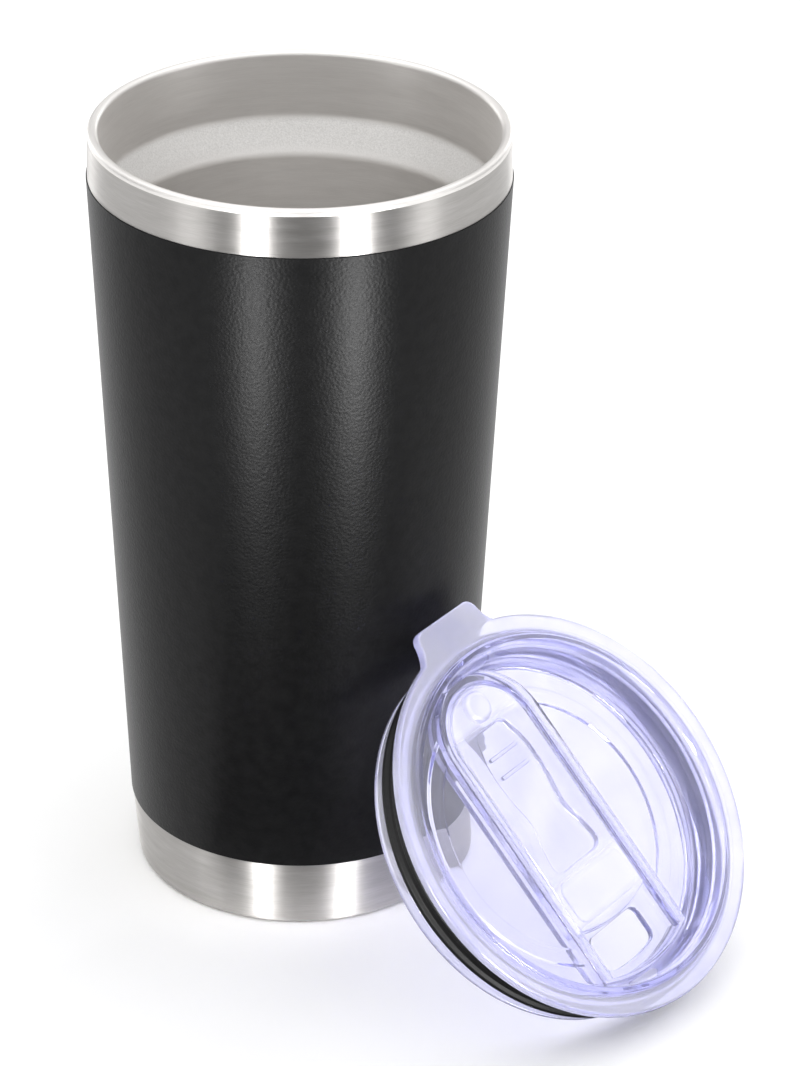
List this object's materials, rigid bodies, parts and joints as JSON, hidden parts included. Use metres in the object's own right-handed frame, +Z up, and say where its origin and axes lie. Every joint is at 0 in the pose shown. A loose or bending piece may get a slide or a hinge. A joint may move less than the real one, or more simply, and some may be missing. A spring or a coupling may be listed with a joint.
{
  "type": "insulated tumbler with lid",
  "caption": "Tapered double-wall steel tumbler with black coat, bare bands, and a clear slider lid leaning beside it.",
  "frame": {"origin": "middle of the tumbler's flat base, on the surface that it stands on", "axes": "+Z up along the tumbler's axis; the lid leans against the wall in the direction between +X and -Y"},
  "size_m": [0.1402, 0.1372, 0.1726],
  "materials": {
    "shell_steel": "fine horizontal brushing, bright",
    "black_coat": "satin black powder coat with a fine pebbled grain",
    "liner_steel": "satin, brushed round the axis, sand-textured shoulder",
    "base_steel": "mill finish",
    "solder_glass": "fused solder glass bead",
    "getter_metal": "sintered grey",
    "cap_steel": "satin, brushed",
    "lid_plastic": "clear, violet at thick edges, polished",
    "black_silicone": "matte black silicone",
    "slider_plastic": "clear, violet at thick edges, polished"
  },
  "bodies": {
    "tumbler": {"outer_shell": "shell_steel", "powder_coat": "black_coat", "inner_liner": "liner_steel", "outer_base": "base_steel", "vacuum_seal": "solder_glass", "getter": "getter_metal", "base_cap": "cap_steel"},
    "lid": {"lid_shell": "lid_plastic", "gasket": "black_silicone"},
    "slider": {"slider": "slider_plastic"}
  },
  "joints": [
    {"name": "lid_lift", "type": "slide", "parent": "tumbler", "child": "lid", "axis": [0.5261, -0.4906, 0.6947], "range_m": [0, 0.12]},
    {"name": "slider_slide", "type": "slide", "parent": "lid", "child": "slider", "axis": [0.5656, -0.4082, -0.7166], "range_m": [0, 0.011]}
  ]
}
